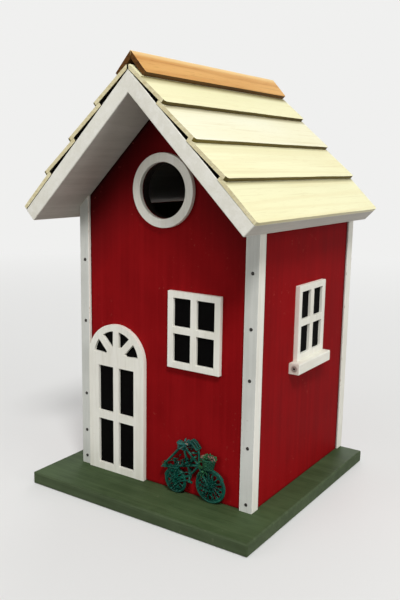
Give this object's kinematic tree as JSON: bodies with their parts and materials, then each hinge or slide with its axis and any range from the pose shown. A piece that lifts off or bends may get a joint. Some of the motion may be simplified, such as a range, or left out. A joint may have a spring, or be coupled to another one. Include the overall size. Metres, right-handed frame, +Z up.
{
  "type": "birdhouse",
  "caption": "Wooden birdhouse shaped like a farm cottage: square base, gabled body, round entrance, lapped shingle roof and a hanging keyhole.",
  "frame": {"origin": "middle of the footprint, on the surface that the base stands on", "axes": "+Z up, the front with the door faces -Y, +X to the right of someone facing the front"},
  "size_m": [0.1714, 0.1714, 0.2794],
  "materials": {
    "red_paint": "satin barn-red paint on wood",
    "white_paint": "satin white paint on wood",
    "green_paint": "satin dark green paint on wood",
    "pale_pine": "bare pale pine, sawn",
    "ridge_stain": "orange-tan stain on pine",
    "black_paint": "black paint on thin board",
    "bicycle_paint": "dark teal-green enamel",
    "nail_steel": "dull wire-nail steel",
    "steel": "zinc-plated screw"
  },
  "bodies": {
    "house": {"base_board": "green_paint", "base_nails": "nail_steel", "bicycle": "bicycle_paint", "door_frame": "white_paint", "door_panes": "black_paint", "entrance_ring": "white_paint", "front_left_post": "white_paint", "front_right_post": "white_paint", "front_wall": "red_paint", "front_window_frame": "white_paint", "front_window_panes": "black_paint", "left_ridge_strip": "ridge_stain", "left_roof_board": "white_paint", "left_shingle_1": "pale_pine", "left_shingle_2": "pale_pine", "left_shingle_3": "pale_pine", "left_shingle_4": "pale_pine", "left_side_wall": "red_paint", "left_window_frame": "white_paint", "left_window_panes": "black_paint", "left_window_sill": "white_paint", "pivot_screw": "steel", "post_nails": "nail_steel", "rear_left_post": "white_paint", "rear_right_post": "white_paint", "rear_wall": "red_paint", "right_ridge_strip": "ridge_stain", "right_roof_board": "white_paint", "right_shingle_1": "pale_pine", "right_shingle_2": "pale_pine", "right_shingle_3": "pale_pine", "right_shingle_4": "pale_pine", "right_side_wall": "red_paint", "right_window_frame": "white_paint", "right_window_panes": "black_paint", "right_window_sill": "white_paint", "sill_nails": "nail_steel"},
    "cover": {"cleanout_cover": "red_paint"}
  },
  "joints": [
    {"name": "cover_swing", "type": "hinge", "parent": "house", "child": "cover", "pos_m": [0, 0.08332, 0.091], "axis": [0, 1, 0], "continuous": true}
  ]
}
